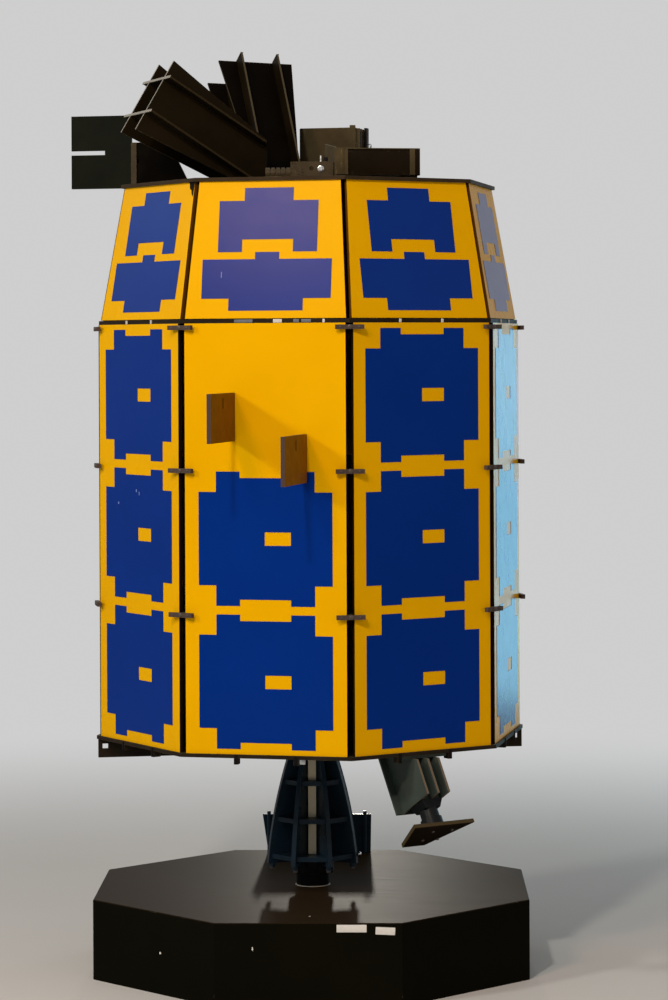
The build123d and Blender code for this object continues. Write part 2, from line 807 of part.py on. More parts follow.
with BuildPart() as arm_web:
    with BuildSketch(arm_end):
        with Locations((-arm_plate_width / 2 + arm_sheet / 2, 0)):
            Rectangle(arm_sheet, 2 * arm_plates_apart + 2 * arm_cross_reach)
        for place in (-0.5, 0.5):
            with Locations((arm_web_place, place * arm_plates_apart)):
                Rectangle(arm_sheet, arm_plates_apart - arm_sheet)
    extrude(amount=-arm_length)
    split(bisect_by=Plane.XY.offset(arm_base_low), keep=Keep.BOTTOM)
write(arm_web, "arm_webs")

with BuildPart() as neck:
    with BuildSketch(arm_end):
        Rectangle(neck_block_top, neck_block_top)
    with BuildSketch(arm_end.offset(neck_block_height)):
        Rectangle(neck_block_foot, neck_block_foot)
    loft()
write(neck, "arm_neck")

# Head: discs and a tapering plate that turn on the neck
head_plane = arm_end.offset(neck_block_height + swivel_gap)
with BuildPart() as head_discs:
    height = 0.0
    for diameter, thickness in HEAD_DISCS:
        with BuildSketch(head_plane.offset(height)):
            Circle(diameter / 2)
        extrude(amount=thickness)
        height += thickness
write(head_discs, "head_discs")

with BuildPart() as head_plate:
    with BuildSketch(Plane(origin=head_plane.offset(height).origin, x_dir=arm_out, z_dir=arm_down)):
        with BuildLine():
            Polyline(*HEAD_CORNERS, close=True)
        make_face()
    extrude(amount=head_thickness)
write(head_plate, "head_plate")
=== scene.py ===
# %% [markdown]
# The octagonal satellite on its plinth, dressed for a picture.
# The CAD frame already holds the true shapes, in metres: panels, cells, hoods, cage and plinth. This file gives each
# of them the finish of the real one and adds the small things that stand on them: labels, screws, nuts and trim.

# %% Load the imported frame
from math import cos, radians, sin, tan

import bpy
import numpy as np
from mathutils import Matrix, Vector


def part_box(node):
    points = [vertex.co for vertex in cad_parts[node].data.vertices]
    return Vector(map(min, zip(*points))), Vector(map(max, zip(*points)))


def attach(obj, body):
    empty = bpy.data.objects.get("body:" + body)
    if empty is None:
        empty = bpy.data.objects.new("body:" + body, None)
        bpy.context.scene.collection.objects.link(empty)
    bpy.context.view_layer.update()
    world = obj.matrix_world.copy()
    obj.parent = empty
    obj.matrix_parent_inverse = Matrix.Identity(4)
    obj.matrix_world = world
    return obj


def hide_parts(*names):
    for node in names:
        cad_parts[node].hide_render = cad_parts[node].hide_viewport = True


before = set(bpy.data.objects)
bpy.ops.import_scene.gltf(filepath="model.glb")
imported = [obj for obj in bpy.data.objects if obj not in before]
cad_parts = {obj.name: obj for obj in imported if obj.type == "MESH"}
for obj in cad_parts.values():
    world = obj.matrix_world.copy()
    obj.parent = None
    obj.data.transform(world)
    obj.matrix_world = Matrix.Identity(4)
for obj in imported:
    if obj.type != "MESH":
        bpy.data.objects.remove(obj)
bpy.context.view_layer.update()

# %% [markdown]
# The camera. The photograph was taken at eye height, from about eight metres away and a little to the right of the
# panel with the fins. A long lens gives that flat perspective. The picture is not centred on the satellite, so the
# lens is shifted, as on a view camera, instead of tilted: upright edges stay upright. The camera was held a quarter of
# a degree out of level, and so is this one.

# %% Camera at eye height
camera_data = bpy.data.cameras.new("photographer")
camera_data.lens = 112.0
camera_data.sensor_width = 36.0
camera_data.shift_x = 0.0236
camera_data.shift_y = -0.1515
camera = bpy.data.objects.new("photographer", camera_data)
camera.location = (1.753, -7.812, 1.578)
camera.rotation_euler = (radians(90.0), radians(0.26), radians(12.65))
bpy.context.scene.collection.objects.link(camera)
bpy.context.scene.camera = camera
bpy.context.scene.view_settings.view_transform = "Standard"
print("camera", tuple(round(v, 3) for v in camera.location), "lens", camera_data.lens)

# %% [markdown]
# Shaders are graphs. A whole graph written out call by call is long, so one small function adds a node, fills its
# settings and joins its links. Colours are kept as sRGB hex values, as a paint card gives them, and one function turns
# them into the linear light that the shaders work with.


# %% Helpers for every material
def linear(code):
    """sRGB hex to linear: c / 12.92 below 0.04045, and ((c + 0.055) / 1.055) to the power 2.4 above it."""
    c = np.array([int(code[i : i + 2], 16) for i in (1, 3, 5)]) / 255
    return (*np.where(c <= 0.04045, c / 12.92, ((c + 0.055) / 1.055) ** 2.4).tolist(), 1.0)


def add(tree, kind, settings=None, links=None):
    """Add one node. Settings fill its fields or its sockets, and links join earlier outputs to its sockets."""
    made = tree.nodes.new(kind)
    for name, value in (settings or {}).items():
        if isinstance(name, str) and hasattr(made, name):
            setattr(made, name, value)
        else:
            made.inputs[name].default_value = value
    for name, output in (links or {}).items():
        tree.links.new(output, made.inputs[name])
    return made


def begin(name, settings=None):
    """A material with one Principled shader. Returns it, its tree, the shader and object coordinates in metres."""
    material = bpy.data.materials.new(name)
    material.use_nodes = True
    tree = material.node_tree
    tree.nodes.clear()
    shader = add(tree, "ShaderNodeBsdfPrincipled", settings)
    add(tree, "ShaderNodeOutputMaterial", None, {"Surface": shader.outputs[0]})
    return material, tree, shader, add(tree, "ShaderNodeTexCoord").outputs["Object"]


print("yellow of the panels in linear light:", [round(v, 3) for v in linear("#EAB100")])

# %% [markdown]
# The studio. The world lights everything a little, and four lamps in front give the rest. The leaning upper panels
# mirror the high one, which greys their blue. The key lamp on the left throws the shadows of the fins down to the
# right, and a small lamp straight ahead draws them as narrow upright lines. A large warm one on the right fills the
# shade. A lamp far behind, nine degrees above the floor, lights the satin top of the plinth and throws the shadows of
# the screen and the cage forwards over it. Cool lamps at both sides edge the black parts, and the right one is also
# mirrored in the face that is seen aslant. The background is one pale grey, which the world shows only to the camera,
# in reflections and through clear things.


# %% World and lamps
# how bright the background shows, and how much light the world gives
PALE, WORLD_LEVEL = 0.62, 0.26


def studio_world(level):
    """A world that lights evenly at that level and looks pale grey to the camera and in reflections."""
    world = bpy.data.worlds.new("studio")
    world.use_nodes = True
    tree = world.node_tree
    tree.nodes.clear()
    path = add(tree, "ShaderNodeLightPath").outputs
    seen = add(tree, "ShaderNodeMath", {"operation": "MAXIMUM"}, {0: path["Is Camera Ray"], 1: path["Is Glossy Ray"]})
    seen = add(tree, "ShaderNodeMath", {"operation": "MAXIMUM"}, {0: seen.outputs[0], 1: path["Is Transmission Ray"]})
    lamp = add(tree, "ShaderNodeBackground", {"Color": (1, 1, 1, 1), "Strength": level})
    pale = add(tree, "ShaderNodeBackground", {"Color": (1, 1, 1, 1), "Strength": PALE})
    both = add(tree, "ShaderNodeMixShader", None, {0: seen.outputs[0], 1: lamp.outputs[0], 2: pale.outputs[0]})
    add(tree, "ShaderNodeOutputWorld", None, {"Surface": both.outputs[0]})
    bpy.context.scene.world = world


def soft_lamp(name, place, target, size, watts, colour="#FFFFFF"):
    """A square area lamp that looks from its place to a target."""
    data = bpy.data.lights.new(name, "AREA")
    data.size, data.energy, data.color = size, watts, linear(colour)[:3]
    lamp = bpy.data.objects.new(name, data)
    lamp.location = place
    gap = np.array(target) - np.array(place)
    lamp.rotation_euler = (np.arctan2(np.hypot(gap[0], gap[1]), -gap[2]), 0.0, np.arctan2(-gap[0], gap[1]))
    lamp.visible_camera = False
    bpy.context.scene.collection.objects.link(lamp)


studio_world(WORLD_LEVEL)
# name, place, target, size in metres, watts, colour
LAMPS = (
    ("high_lamp", (-1.05, -4.7, 3.85), (0.0, -0.4, 1.7), 0.66, 62.0, "#FFCAA6"),
    ("key_lamp", (-4.4, -5.3, 4.1), (0.0, 0.0, 1.3), 0.7, 142.0, "#FFFFF4"),
    ("fin_lamp", (-0.08, -4.55, 4.4), (0.0, 0.0, 1.6), 0.26, 92.0, "#FFF6EA"),
    ("fill_lamp", (6.0, -4.5, 2.6), (0.0, 0.0, 1.2), 3.0, 40.0, "#FFC890"),
    ("left_lamp", (-6.2, 1.3, 3.7), (0.0, 0.0, 1.4), 1.2, 9.0, "#B8D4FF"),
    ("right_lamp", (1.75, 5.6, 0.9), (0.5, 0.0, 1.1), 1.75, 33.0, "#8CD4F0"),
    ("far_lamp", (-2.5, 12.3, 2.18), (0.0, 0.0, 0.3), 0.3, 122.0, "#FFF8EA"),
)
for lamp_row in LAMPS:
    soft_lamp(*lamp_row)
print("studio:", len(LAMPS), "lamps and a world at", WORLD_LEVEL)

# %% [markdown]
# The floor is one large pale plane. Its far edge would draw a horizon across the picture, which a studio hides with a
# curved backdrop. Here a blend does that: away from the plinth the floor fades into the grey of the background, for
# the camera only, so that no light is added. Near the plinth it is a real surface and keeps the shadow.

# %% Pale floor
pale_floor, tree, shader, where = begin("pale_floor", {"Roughness": 0.85, "Specular IOR Level": 0.2})
grey = add(tree, "ShaderNodeTexNoise", {"Scale": 1.6, "Detail": 3.0}, {"Vector": where})
tones = {"data_type": "RGBA", 6: linear("#CFCFCC"), 7: linear("#D6D6D4")}
grey = add(tree, "ShaderNodeMix", tones, {0: grey.outputs["Fac"]})
tree.links.new(grey.outputs[2], shader.inputs["Base Color"])
far = add(tree, "ShaderNodeVectorMath", {"operation": "LENGTH"}, {0: where})
fade = {"interpolation_type": "SMOOTHSTEP", "From Min": 1.4, "From Max": 5.0}
far = add(tree, "ShaderNodeMapRange", fade, {"Value": far.outputs["Value"]})
path = add(tree, "ShaderNodeLightPath").outputs["Is Camera Ray"]
far = add(tree, "ShaderNodeMath", {"operation": "MULTIPLY"}, {0: far.outputs[0], 1: path})
pale = add(tree, "ShaderNodeEmission", {"Color": (1, 1, 1, 1), "Strength": PALE})
both = add(tree, "ShaderNodeMixShader", None, {0: far.outputs[0], 1: shader.outputs[0], 2: pale.outputs[0]})
tree.links.new(both.outputs[0], tree.nodes["Material Output"].inputs["Surface"])

floor_mesh = bpy.data.meshes.new("floor")
floor_mesh.from_pydata([(-40, -40, 0), (40, -40, 0), (40, 40, 0), (-40, 40, 0)], [], [(0, 1, 2, 3)])
floor_mesh.materials.append(pale_floor)
floor = bpy.data.objects.new("floor", floor_mesh)
bpy.context.scene.collection.objects.link(floor)
print("floor fades between", fade["From Min"], "and", fade["From Max"], "metres")

# %% [markdown]
# Paint on sheet metal. It is sprayed, so it drifts a little in tone, has a fine orange peel, changes in gloss with
# handling and dust, and wears through on the edges. The sheet is cut after it is painted, so its cut edges show
# another tone than its faces.
# Two masks find those places. The Bevel node gives the normal of a slightly rounded edge: where that differs from the
# flat normal there is an edge, and a noise breaks the line up into chips. A cut edge is a face whose normal is far
# from the direction in which the sheet looks.


# %% Masks for edges
def worn_edges(tree, where, width_mm, chip_mm, least):
    """1 in chips along the edges and 0 on the flats: (1 - rounded normal . flat normal), times a broken-up noise."""
    rounded = add(tree, "ShaderNodeBevel", {"samples": 4, "Radius": width_mm / 1000})
    flat = add(tree, "ShaderNodeNewGeometry")
    links = {0: rounded.outputs[0], 1: flat.outputs["True Normal"]}
    same = add(tree, "ShaderNodeVectorMath", {"operation": "DOT_PRODUCT"}, links)
    edge = add(tree, "ShaderNodeMapRange", {"From Min": 0.985, "From Max": 0.86}, {"Value": same.outputs["Value"]})
    chips = add(tree, "ShaderNodeTexNoise", {"Scale": 1000 / chip_mm, "Detail": 6.0}, {"Vector": where})
    some = {"From Min": least, "From Max": least + 0.08}
    chips = add(tree, "ShaderNodeMapRange", some, {"Value": chips.outputs["Fac"]})
    return add(tree, "ShaderNodeMath", {"operation": "MULTIPLY"}, {0: edge.outputs[0], 1: chips.outputs[0]}).outputs[0]


def cut_edges(tree, where, looks):
    """1 on the cut edges of a sheet: |normal . looks| is small there. Looks is a direction, or "round" for outwards.

    Where looks is one number, it is a radius in metres instead, and the mask is 1 further out from the axis than that.
    """
    if isinstance(looks, float):
        level = add(tree, "ShaderNodeVectorMath", {"operation": "MULTIPLY", 1: (1.0, 1.0, 0.0)}, {0: where})
        out = add(tree, "ShaderNodeVectorMath", {"operation": "LENGTH"}, {0: level.outputs[0]})
        rim = {"From Min": looks, "From Max": looks + 0.002}
        return add(tree, "ShaderNodeMapRange", rim, {"Value": out.outputs["Value"]}).outputs[0]
    flat = add(tree, "ShaderNodeNewGeometry")
    links = {0: flat.outputs["True Normal"]}
    if looks == "round":
        level = add(tree, "ShaderNodeVectorMath", {"operation": "MULTIPLY", 1: (1.0, 1.0, 0.0)}, {0: where})
        links[1] = add(tree, "ShaderNodeVectorMath", {"operation": "NORMALIZE"}, {0: level.outputs[0]}).outputs[0]
    same = add(tree, "ShaderNodeVectorMath", {"operation": "DOT_PRODUCT"}, links)
    if looks != "round":
        same.inputs[1].default_value = np.array(looks) / np.linalg.norm(looks)
    same = add(tree, "ShaderNodeMath", {"operation": "ABSOLUTE"}, {0: same.outputs["Value"]})
    return add(tree, "ShaderNodeMapRange", {"From Min": 0.75, "From Max": 0.65}, {"Value": same.outputs[0]}).outputs[0]


print("masks ready: worn edges and cut edges")

# %% [markdown]
# One function sprays every painted part, from a row of a table: two close tones and how large their clouds are, the
# roughness between which the gloss drifts, the orange peel, and what shows where the paint is worn.
# Black paint looks deeper than its colour alone, so its share of reflection is low.


# %% Sprayed paint
def sprayed(name, tones, cloud_mm, rough, peel, chips, shine, dust, cut=None):
    """Paint: clouds between two tones, cut edges, dust on what looks up, chips, uneven gloss and orange peel."""
    material, tree, shader, where = begin(name, {"Specular IOR Level": shine})
    blend = {"data_type": "RGBA"}
    cloud = {"Scale": 1000 / cloud_mm, "Detail": 6.0, "Roughness": 0.62}
    drift = add(tree, "ShaderNodeTexNoise", cloud, {"Vector": where}).outputs["Fac"]
    spread = add(tree, "ShaderNodeMapRange", {"From Min": 0.3, "From Max": 0.7}, {"Value": drift}).outputs[0]
    tone = add(tree, "ShaderNodeMix", blend | {6: linear(tones[0]), 7: linear(tones[1])}, {0: spread})
    if cut:
        mask = cut_edges(tree, where, cut[1])
        tone = add(tree, "ShaderNodeMix", blend | {7: linear(cut[0])}, {0: mask, 6: tone.outputs[2]})
    up = add(tree, "ShaderNodeSeparateXYZ", None, {0: add(tree, "ShaderNodeNewGeometry").outputs["Normal"]})
    lies = {"From Min": 0.3, "From Max": 1.0, "To Max": dust[1]}
    lies = add(tree, "ShaderNodeMapRange", lies, {"Value": up.outputs[2]})
    dusty = add(tree, "ShaderNodeMath", {"operation": "MULTIPLY"}, {0: lies.outputs[0], 1: drift})
    tone = add(tree, "ShaderNodeMix", blend | {7: linear(dust[0])}, {0: dusty.outputs[0], 6: tone.outputs[2]})
    worn = worn_edges(tree, where, *chips[1:])
    tone = add(tree, "ShaderNodeMix", blend | {7: linear(chips[0])}, {0: worn, 6: tone.outputs[2]})
    tree.links.new(tone.outputs[2], shader.inputs["Base Color"])
    rub = add(tree, "ShaderNodeTexNoise", {"Scale": 4500 / cloud_mm, "Detail": 8.0}, {"Vector": where})
    gloss = {"To Min": rough[0], "To Max": rough[1], "From Min": 0.3, "From Max": 0.7}
    gloss = add(tree, "ShaderNodeMapRange", gloss, {"Value": rub.outputs["Fac"]})
    tree.links.new(gloss.outputs[0], shader.inputs["Roughness"])
    skin = add(tree, "ShaderNodeTexNoise", {"Scale": 1000 / peel[0], "Detail": 2.0}, {"Vector": where})
    bump = {"Strength": 0.6, "Distance": peel[1] / 1000}
    bump = add(tree, "ShaderNodeBump", bump, {"Height": skin.outputs["Fac"]})
    tree.links.new(bump.outputs[0], shader.inputs["Normal"])
    return material


# tones, cloud mm, roughness, peel (mm across, mm deep), chips (colour, width mm, chip mm, least), shine, dust
PAINTS = {
    # satin enamel: the even, warm yellow of the panels
    "yellow_enamel": (
        ("#E4AA00", "#EAB100"), 420, (0.22, 0.32), (5.0, 0.03), ("#7A5A20", 1.2, 14, 0.6), 0.02, ("#B0A080", 0.1),
    ),
    # dull grey-brown of the top deck, where dust lies
    "deck_paint": (
        ("#2A2116", "#3C3122"), 160, (0.45, 0.6), (3.0, 0.05), ("#6E6656", 1.2, 22, 0.5), 0.05, ("#77705F", 0.3),
    ),
    # the same paint, made darker as painted shade, on the decks that are seen from below and on the bulkheads
    "painted_shade_deck_paint": (
        ("#1E1811", "#2E271D"), 160, (0.45, 0.6), (3.0, 0.05), ("#66604F", 1.2, 22, 0.52), 0.04, ("#77705F", 0.3),
    ),
    # brown-black of the hoods, dull enough to show their folds of shade
    "hood_paint": (
        ("#120D05", "#1C160B"), 140, (0.42, 0.55), (3.0, 0.04), ("#4F493C", 1.0, 12, 0.55), 0.03, ("#5A564E", 0.1),
    ),
    # green-black of the plate with the slot
    "side_paint": (
        ("#0D100B", "#171A13"), 140, (0.42, 0.55), (3.0, 0.04), ("#4F4F44", 1.0, 12, 0.55), 0.03, ("#5A564E", 0.1),
    ),
    # the deepest black, on the back hood and beside the rim post
    "dark_paint": (
        ("#050301", "#0B0703"), 90, (0.45, 0.6), (3.0, 0.04), ("#2A251C", 1.0, 12, 0.58), 0.02, ("#3A362E", 0.05),
    ),
    # polished black of the post, which shows narrow bright lines
    "post_gloss": (
        ("#040406", "#08090B"), 90, (0.14, 0.24), (2.5, 0.04), ("#2C3A42", 1.2, 14, 0.55), 0.14, ("#565A5C", 0.05),
    ),
    # black powder coat of the cage and the screen; its blue tones are painted light, standing in for cool light falling
    # on it
    "cage_powder_painted_blue_light": (
        ("#12202A", "#203444"), 90, (0.25, 0.4), (2.5, 0.06), ("#2C3A42", 1.2, 14, 0.5), 0.1, ("#565A5C", 0.1),
    ),
    # grey-brown of the small cast pieces on the deck
    "hardware_paint": (
        ("#322A1C", "#463C2B"), 60, (0.4, 0.55), (2.5, 0.05), ("#7E7660", 1.0, 8, 0.5), 0.1, ("#77705F", 0.2),
    ),
    # brown of the fins, which look warm beside the yellow
    "fin_paint": (
        ("#7C4E0A", "#8C5A0E"), 90, (0.4, 0.55), (2.5, 0.05), ("#7E6A48", 1.0, 8, 0.55), 0.04, ("#77705F", 0.1),
    ),
    # grey-green of the arm
    "arm_paint": (
        ("#343E3A", "#404A45"), 90, (0.38, 0.5), (3.0, 0.05), ("#545A58", 1.0, 12, 0.55), 0.08, ("#565A5C", 0.1),
    ),
    # blue-black of the turned neck and discs
    "neck_paint": (
        ("#0F1214", "#181C1E"), 60, (0.3, 0.45), (3.0, 0.05), ("#545A58", 1.0, 12, 0.55), 0.08, ("#565A5C", 0.1),
    ),
    # black-brown of the low box
    "box_paint": (
        ("#110C05", "#1B140A"), 90, (0.42, 0.55), (2.5, 0.05), ("#4F4838", 1.0, 10, 0.52), 0.04, ("#5A564E", 0.15),
    ),
    # grey-brown of the ribbed box
    "grey_box_paint": (
        ("#3C3424", "#50462F"), 70, (0.42, 0.55), (2.5, 0.05), ("#7E765F", 1.0, 10, 0.52), 0.05, ("#77705F", 0.2),
    ),
}
print("paints:", ", ".join(PAINTS))

# %% [markdown]
# The solar cells are blue film on thin sheet: deep, glossier than the paint around it, and a little uneven where it
# was pressed on. It has little shine of its own, so that it stays deep seen from the front, and mirrors lamps only
# when it is seen aslant. On the leaning upper panels the film shines twice as much as lower down.


# %% Blue film of the cells
def cell_film(name, tones, shine):
    """Film: clouds 250 mm across between two tones, ripples 70 mm across from the pressing, and rubbed gloss."""
    material, tree, shader, where = begin(name, {"Specular IOR Level": shine})
    drift = add(tree, "ShaderNodeTexNoise", {"Scale": 4.0, "Detail": 5.0}, {"Vector": where})
    tones = {"data_type": "RGBA", 6: linear(tones[0]), 7: linear(tones[1])}
    tone = add(tree, "ShaderNodeMix", tones, {0: drift.outputs["Fac"]})
    tree.links.new(tone.outputs[2], shader.inputs["Base Color"])
    rub = add(tree, "ShaderNodeTexNoise", {"Scale": 22.0, "Detail": 6.0}, {"Vector": where})
    gloss = add(tree, "ShaderNodeMapRange", {"To Min": 0.21, "To Max": 0.27}, {"Value": rub.outputs["Fac"]})
    tree.links.new(gloss.outputs[0], shader.inputs["Roughness"])
    press = add(tree, "ShaderNodeTexNoise", {"Scale": 14.0, "Detail": 2.0}, {"Vector": where})
    press = add(tree, "ShaderNodeBump", {"Strength": 0.1, "Distance": 0.00004}, {"Height": press.outputs["Fac"]})
    tree.links.new(press.outputs[0], shader.inputs["Normal"])
    return material


film = cell_film("blue_film", ("#012A7C", "#02308A"), 0.05)
upper_film = cell_film("glossier_blue_film", ("#012A7C", "#02308A"), 0.1)
print("films:", film.name, upper_film.name)

# %% [markdown]
# The plinth is a box of laminated board: black and a little brown, and satin on top with fine streaks from the roller
# which pressed it. The top is painted a lighter brown than the sides, which is painted light for the lit top. The
# streaks run along the front edge, so the pattern is turned by the plinth's own 11.3 degrees and stretched along it.
# They are 5 mm apart, coarser than on the real board, so that they just show.

# %% Laminate of the plinth
laminate, tree, shader, where = begin("plinth_laminate", {"Specular IOR Level": 0.006})
turned = {"Rotation": (0.0, 0.0, radians(-11.3)), "Scale": (1.0, 22.0, 22.0)}
lay = add(tree, "ShaderNodeMapping", turned, {"Vector": where})
streak = add(tree, "ShaderNodeTexNoise", {"Scale": 9.0, "Detail": 6.0, "Roughness": 0.6}, {"Vector": lay.outputs[0]})
drift = add(tree, "ShaderNodeTexNoise", {"Scale": 5.0, "Detail": 5.0}, {"Vector": where})
up = add(tree, "ShaderNodeSeparateXYZ", None, {0: add(tree, "ShaderNodeNewGeometry").outputs["Normal"]})
painted_light_on_top = add(tree, "ShaderNodeMapRange", {"From Min": 0.4, "From Max": 0.9}, {"Value": up.outputs[2]})
sides = {"data_type": "RGBA", 6: linear("#0B0B08"), 7: linear("#131209")}
sides = add(tree, "ShaderNodeMix", sides, {0: drift.outputs["Fac"]})
# painted light: the top's tones are lighter than the sides', standing in for light on the top; the streaks are the
# board's own
top = {"data_type": "RGBA", 6: linear("#1F1810"), 7: linear("#33281A")}
top = add(tree, "ShaderNodeMix", top, {0: streak.outputs["Fac"]})
links = {0: painted_light_on_top.outputs[0], 6: sides.outputs[2], 7: top.outputs[2]}
tone = add(tree, "ShaderNodeMix", {"data_type": "RGBA"}, links)
chips = worn_edges(tree, where, 2.0, 12, 0.62)
tone = add(tree, "ShaderNodeMix", {"data_type": "RGBA", 7: linear("#6C685F")}, {0: chips, 6: tone.outputs[2]})
tree.links.new(tone.outputs[2], shader.inputs["Base Color"])
gloss = add(tree, "ShaderNodeMapRange", {"To Min": 0.38, "To Max": 0.5}, {"Value": streak.outputs["Fac"]})
tree.links.new(gloss.outputs[0], shader.inputs["Roughness"])
bump = add(tree, "ShaderNodeBump", {"Strength": 0.4, "Distance": 0.0002}, {"Height": streak.outputs["Fac"]})
tree.links.new(bump.outputs[0], shader.inputs["Normal"])
print("laminate:", laminate.name)

# %% [markdown]
# The small finishes: the ivory plastic of the light bar, bright zinc on the bolt of the clevis and dull zinc on the
# screws and nuts, white card on the labels, pale and grey shims in the gap under the upper panels, the bare aluminium
# of the hoods' cut mouths, scratched film, and black rubber on the clips; the same black is painted shade in the slits
# and in the broken corner. Zinc is a metal, so its colour is its reflection, and its crystals give it patches.


# %% Ivory plastic, zinc, card and bare metal
def plain_stuff(name, tones, patch_mm, rough, depth_mm, metal=0.0, shine=0.3):
    """Two tones in patches of a size, with roughness and height from the same patches."""
    material, tree, shader, where = begin(name, {"Metallic": metal, "Specular IOR Level": 0.5 if metal else shine})
    patch = add(tree, "ShaderNodeTexNoise", {"Scale": 1000 / patch_mm, "Detail": 6.0}, {"Vector": where})
    tones = {"data_type": "RGBA", 6: linear(tones[0]), 7: linear(tones[1])}
    tone = add(tree, "ShaderNodeMix", tones, {0: patch.outputs["Fac"]})
    tree.links.new(tone.outputs[2], shader.inputs["Base Color"])
    gloss = add(tree, "ShaderNodeMapRange", {"To Min": rough[0], "To Max": rough[1]}, {"Value": patch.outputs["Fac"]})
    tree.links.new(gloss.outputs[0], shader.inputs["Roughness"])
    bump = add(tree, "ShaderNodeBump", {"Strength": 0.5, "Distance": depth_mm / 1000}, {"Height": patch.outputs["Fac"]})
    tree.links.new(bump.outputs[0], shader.inputs["Normal"])
    return material


# moulded plastic, yellowed a little: even and satin
ivory = plain_stuff("ivory_plastic", ("#E4D8B6", "#F2E8C8"), 12, (0.35, 0.5), 0.05)
# new zinc plating: a bright grey mirror in patches
zinc = plain_stuff("bright_zinc", ("#A9ADAE", "#D2D4D4"), 4, (0.22, 0.4), 0.05, metal=1.0)
# old zinc under a film of oil: small brown glints
dull_zinc = plain_stuff("dull_zinc", ("#403A36", "#5A524C"), 4, (0.4, 0.55), 0.05, metal=0.6)
# film rubbed through: a pale blue that stands out from the cell
scratched = plain_stuff("scratched_film", ("#5F78B8", "#8296CC"), 4, (0.4, 0.6), 0.03)
# coated card: white and dull
card = plain_stuff("label_card", ("#D2D3D0", "#E6E6E2"), 8, (0.5, 0.65), 0.03)
# sawn aluminium: a grey line with a faint grain
bare_cut = plain_stuff("bare_cut_aluminium", ("#77746B", "#9C998F"), 6, (0.4, 0.6), 0.1)
# zinc-white and grey primer on the shims: they show light and dark in the gap
pale_shim = plain_stuff("pale_shim", ("#B8B6AE", "#D8D6CE"), 8, (0.4, 0.6), 0.05)
grey_shim = plain_stuff("grey_shim", ("#4A5258", "#727A80"), 8, (0.4, 0.6), 0.05)
# black rubber on the clips and the block; in the slits and the broken corner the same black is painted shade, so that
# they look deep
rubber_and_painted_shade = plain_stuff("black_rubber_and_painted_shade", ("#060505", "#0E0C0A"), 6, (0.6, 0.8), 0.1, shine=0.1)
print("small finishes:", ivory.name, zinc.name, card.name)

# %% [markdown]
# Each CAD solid keeps its shape and gets the finish of the real piece through its material slots. The sheets take the
# same paint as their neighbours, with their own cut edges: nearly black in the seams between the lower yellow panels,
# brown between the upper ones, and lighter on the hoods, fins and arm. A hood's two pairs of sheets look in different
# directions, so each pair has a paint of its own.


# %% Dress the solids
def dress(finish, *names):
    """Give these CAD nodes a finish."""
    for name in names:
        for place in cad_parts[name].material_slots:
            place.material = finish


def in_sheets(name, paint, cut_colour, looks, *nodes):
    """Spray these nodes with a paint of the table whose cut edges have their own colour."""
    dress(sprayed(name, *PAINTS[paint], cut=(cut_colour, looks)), *nodes)


# %% Sheets with cut edges of their own
# name, middle of the mouth above the deck, directions along the plates' width and across them, paint, rib edges
HOODS = (
    ("left_hood", (-343.5, -318.2, 212.2), (-0.404, -0.32, -0.857), (-0.603, 0.798, -0.014), "hood_paint", "#2A2315"),
    ("back_hood", (-189.6, 126.8, 302.3), (-0.834, -0.551, 0.025), (-0.481, 0.705, -0.521), "dark_paint", "#4A4333"),
)
panels = [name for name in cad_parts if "_panel_" in name]
lower, upper = ([name for name in panels if name.startswith(row)] for row in ("lower", "upper"))
in_sheets("yellow_enamel", "yellow_enamel", "#1A0F04", "round", *lower)
in_sheets("upper_yellow_enamel", "yellow_enamel", "#5A360A", "round", *upper)
for hood, _, along_width, across, paint, rib_edge in HOODS:
    in_sheets(f"{hood}_plate_paint", paint, "#3A3324", across, f"{hood}_plates")
    in_sheets(f"{hood}_rib_paint", "hood_paint", rib_edge, along_width, f"{hood}_ribs")
in_sheets("fin_paint", "fin_paint", "#4A3F3C", (1.0, 0.0, 0.0), "front_fins")
in_sheets("side_plate_paint", "side_paint", "#55524A", (0.0, 1.0, 0.0), "side_plate")
in_sheets("dark_plate_paint", "dark_paint", "#3A372F", (0.0, 1.0, 0.0), "dark_plate")
bulkheads = [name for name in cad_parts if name.startswith("bulkhead")]
# the bulkheads take the darker deck paint, which is painted shade
in_sheets("bulkhead_paint_in_painted_shade", "painted_shade_deck_paint", "#4C413C", 0.515, *bulkheads)
arm_across = (0.7071, 0.7071, 0.0)
in_sheets("arm_plate_paint", "arm_paint", "#6A5F50", arm_across, "arm_plates")
print("sheets:", len(panels), "panels,", len(bulkheads), "bulkheads and", len(HOODS), "hoods, fins, side plates, arm")

# %% Finishes that cover a piece all over
dress(film, "lower_cells")
dress(upper_film, "upper_cells")
dress(laminate, "plinth")
dress(ivory, "light_bar")
# paint and the nodes that it covers all over
COVERED = {
    "deck_paint": ["top_deck"],
    # the decks seen from below take the darker deck paint, which is painted shade
    "painted_shade_deck_paint": ["bottom_deck", "shoulder_deck", "deck_lugs", "deck_beams"],
    "post_gloss": ["post"],
    # the blue of the cage and the screen is painted light
    "cage_powder_painted_blue_light": ["cage_ribs", "cage_rings", "rear_screen", "rear_screen_rods"],
    "hardware_paint": ["rim_post", "clevis", "grooved_roller"],
    "arm_paint": ["arm_base", "arm_webs"],
    "neck_paint": ["arm_neck", "head_discs"],
    "box_paint": ["front_box", "box_strip"],
    "grey_box_paint": ["rear_box"],
}
for paint, nodes in COVERED.items():
    dress(sprayed(paint, *PAINTS[paint]), *nodes)
print("covered all over:", sum(map(len, COVERED.values())), "painted nodes")

# %% [markdown]
# Small flat and round things, such as labels, screws, nuts and trim, are all one kind of surface: a closed outline in
# a plane, carried outwards along a short section that draws it in at the rim. A lathe turns the round ones and a press
# the flat ones, but to a mesh they are the same grid of outline times section, with a cap at each end.


